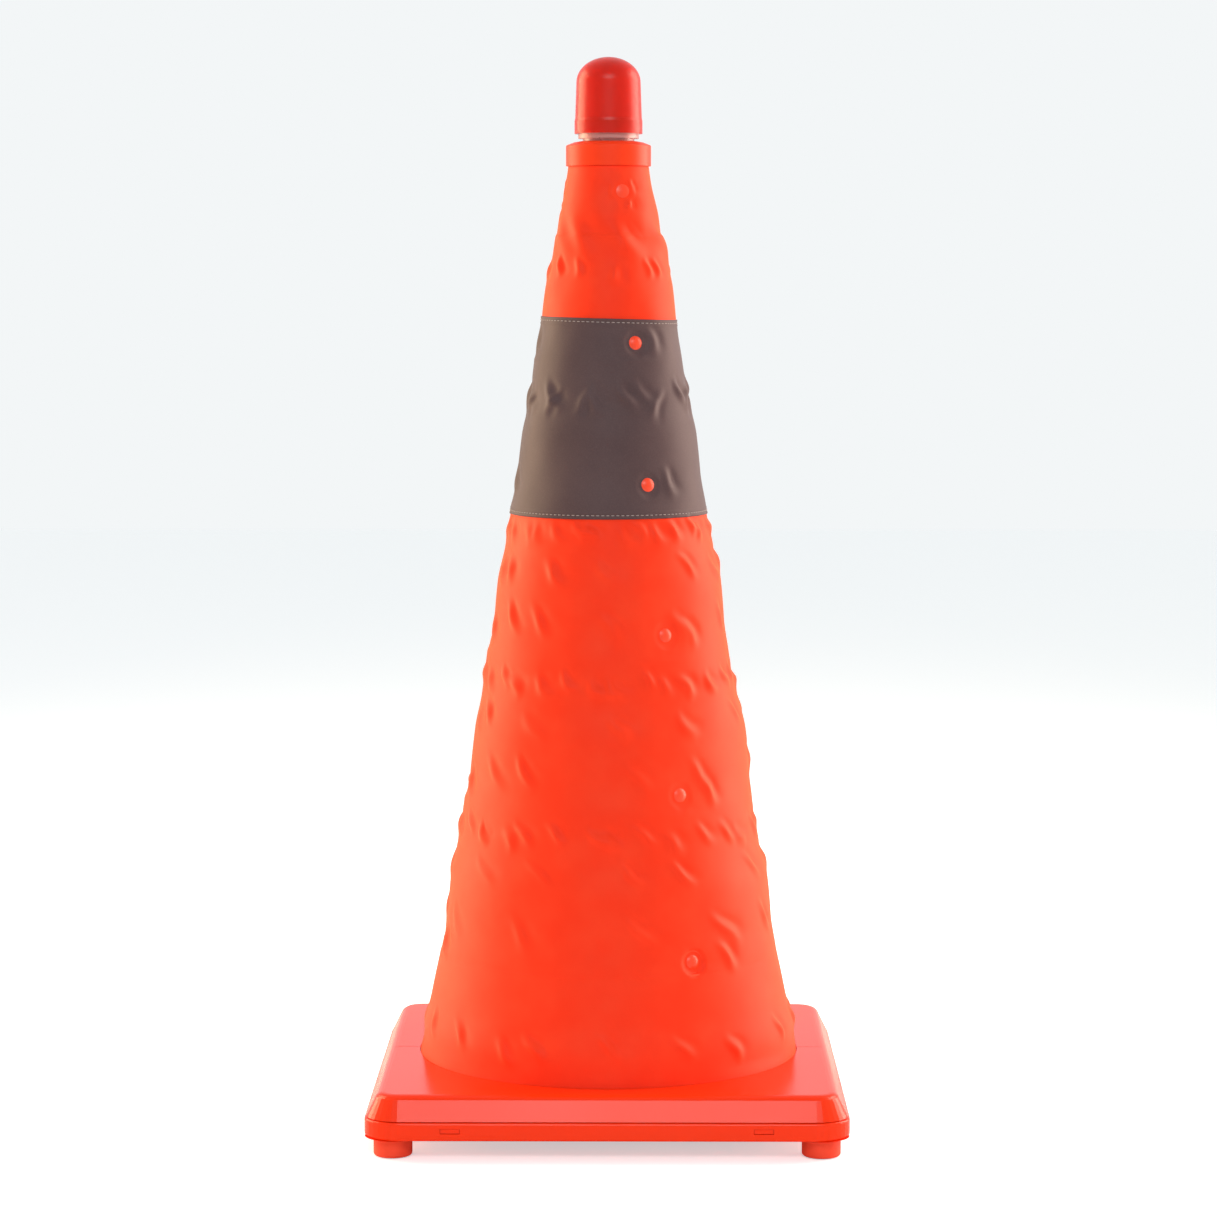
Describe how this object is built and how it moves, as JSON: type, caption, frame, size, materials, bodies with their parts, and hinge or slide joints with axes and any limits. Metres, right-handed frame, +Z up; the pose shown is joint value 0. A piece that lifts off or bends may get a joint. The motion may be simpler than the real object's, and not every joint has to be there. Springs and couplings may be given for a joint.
{
  "type": "collapsible traffic cone",
  "caption": "Collapsible safety cone: square base tray, nesting conical tubes under an orange cloth cover with a grey reflective band, and a lift-out red warning lamp on top.",
  "frame": {"origin": "centre of the square footprint, on the surface the feet stand on", "axes": "+Z up along the cone's axis, -Y towards the front, +X to the right seen from the front"},
  "size_m": [0.3368, 0.3368, 0.7626],
  "materials": {
    "base_plastic": "semi-gloss moulded ABS",
    "foot_plastic": "satin moulded",
    "tube_plastic": "satin moulded polypropylene",
    "cover_cloth": "coated plain-weave polyester",
    "band_cloth": "grey retroreflective film on cloth",
    "rivet_plastic": "moulded",
    "collar_plastic": "satin moulded",
    "screw_steel": "zinc plated",
    "strap_steel": "plain",
    "lens_red": "clear red, polished",
    "flange_clear": "clear, polished",
    "gasket_rubber": "matte",
    "stem_plastic": "satin moulded",
    "carrier_plastic": "matte moulded",
    "board_laminate": "solder mask",
    "led_clear": "clear epoxy",
    "battery_can": "plain wrapped",
    "contact_brass": "plated",
    "button_plastic": "satin moulded"
  },
  "bodies": {
    "root": {"base_tray": "base_plastic", "base_cover": "base_plastic", "base_tube": "tube_plastic", "base_screws": "screw_steel", "hem_clamp": "strap_steel", "foot_front_left": "foot_plastic", "foot_front_right": "foot_plastic", "foot_rear_left": "foot_plastic", "foot_rear_right": "foot_plastic", "cloth_12": "cover_cloth"},
    "section_01": {"tube_01": "tube_plastic", "cloth_01": "cover_cloth", "tacks_01": "rivet_plastic", "top_collar": "collar_plastic"},
    "section_02": {"tube_02": "tube_plastic", "cloth_02": "cover_cloth"},
    "section_03": {"tube_03": "tube_plastic", "cloth_03": "cover_cloth", "cloth_03_band": "band_cloth", "rivets_03": "rivet_plastic"},
    "section_04": {"tube_04": "tube_plastic", "cloth_04_band": "band_cloth"},
    "section_05": {"tube_05": "tube_plastic", "cloth_05_band": "band_cloth", "rivets_05": "rivet_plastic"},
    "section_06": {"tube_06": "tube_plastic", "cloth_06": "cover_cloth"},
    "section_07": {"tube_07": "tube_plastic", "cloth_07": "cover_cloth", "rivets_07": "rivet_plastic"},
    "section_08": {"tube_08": "tube_plastic", "cloth_08": "cover_cloth"},
    "section_09": {"tube_09": "tube_plastic", "cloth_09": "cover_cloth", "rivets_09": "rivet_plastic"},
    "section_10": {"tube_10": "tube_plastic", "cloth_10": "cover_cloth"},
    "section_11": {"tube_11": "tube_plastic", "cloth_11": "cover_cloth", "rivets_11": "rivet_plastic"},
    "lamp": {"lamp_lens": "lens_red", "lamp_flange": "flange_clear", "lamp_stem": "stem_plastic", "lamp_gasket": "gasket_rubber", "led_carrier": "carrier_plastic", "led_board": "board_laminate", "leds": "led_clear", "batteries": "battery_can", "contact_top": "contact_brass", "contact_bottom": "contact_brass", "battery_cap": "stem_plastic"},
    "lamp_switch": {"switch_button": "button_plastic"}
  },
  "joints": [
    {"name": "collapse", "type": "slide", "parent": "root", "child": "section_11", "axis": [0, 0, -1], "range_m": [0, 0.0745]},
    {"name": "slide_10", "type": "slide", "parent": "section_11", "child": "section_10", "axis": [0, 0, -1], "range_m": [0, 0.0544]},
    {"name": "slide_09", "type": "slide", "parent": "section_10", "child": "section_09", "axis": [0, 0, -1], "range_m": [0, 0.0541]},
    {"name": "slide_08", "type": "slide", "parent": "section_09", "child": "section_08", "axis": [0, 0, -1], "range_m": [0, 0.0538]},
    {"name": "slide_07", "type": "slide", "parent": "section_08", "child": "section_07", "axis": [0, 0, -1], "range_m": [0, 0.0535]},
    {"name": "slide_06", "type": "slide", "parent": "section_07", "child": "section_06", "axis": [0, 0, -1], "range_m": [0, 0.0532]},
    {"name": "slide_05", "type": "slide", "parent": "section_06", "child": "section_05", "axis": [0, 0, -1], "range_m": [0, 0.0529]},
    {"name": "slide_04", "type": "slide", "parent": "section_05", "child": "section_04", "axis": [0, 0, -1], "range_m": [0, 0.0526]},
    {"name": "slide_03", "type": "slide", "parent": "section_04", "child": "section_03", "axis": [0, 0, -1], "range_m": [0, 0.0523]},
    {"name": "slide_02", "type": "slide", "parent": "section_03", "child": "section_02", "axis": [0, 0, -1], "range_m": [0, 0.052]},
    {"name": "slide_01", "type": "slide", "parent": "section_02", "child": "section_01", "axis": [0, 0, -1], "range_m": [0, 0.0517]},
    {"name": "lamp_lift", "type": "slide", "parent": "section_01", "child": "lamp", "axis": [0, 0, 1], "range_m": [0, 0.065]},
    {"name": "switch_press", "type": "slide", "parent": "lamp", "child": "lamp_switch", "axis": [0, 0, 1], "range_m": [0, 0.0012], "stiffness_N_per_m": 1200, "springref_m": -0.0004}
  ],
  "couplings": [
    {"joint": "slide_10", "follows": "collapse", "ratio": 0.7302},
    {"joint": "slide_09", "follows": "collapse", "ratio": 0.72617},
    {"joint": "slide_08", "follows": "collapse", "ratio": 0.72215},
    {"joint": "slide_07", "follows": "collapse", "ratio": 0.71812},
    {"joint": "slide_06", "follows": "collapse", "ratio": 0.71409},
    {"joint": "slide_05", "follows": "collapse", "ratio": 0.71007},
    {"joint": "slide_04", "follows": "collapse", "ratio": 0.70604},
    {"joint": "slide_03", "follows": "collapse", "ratio": 0.70201},
    {"joint": "slide_02", "follows": "collapse", "ratio": 0.69799},
    {"joint": "slide_01", "follows": "collapse", "ratio": 0.69396}
  ]
}
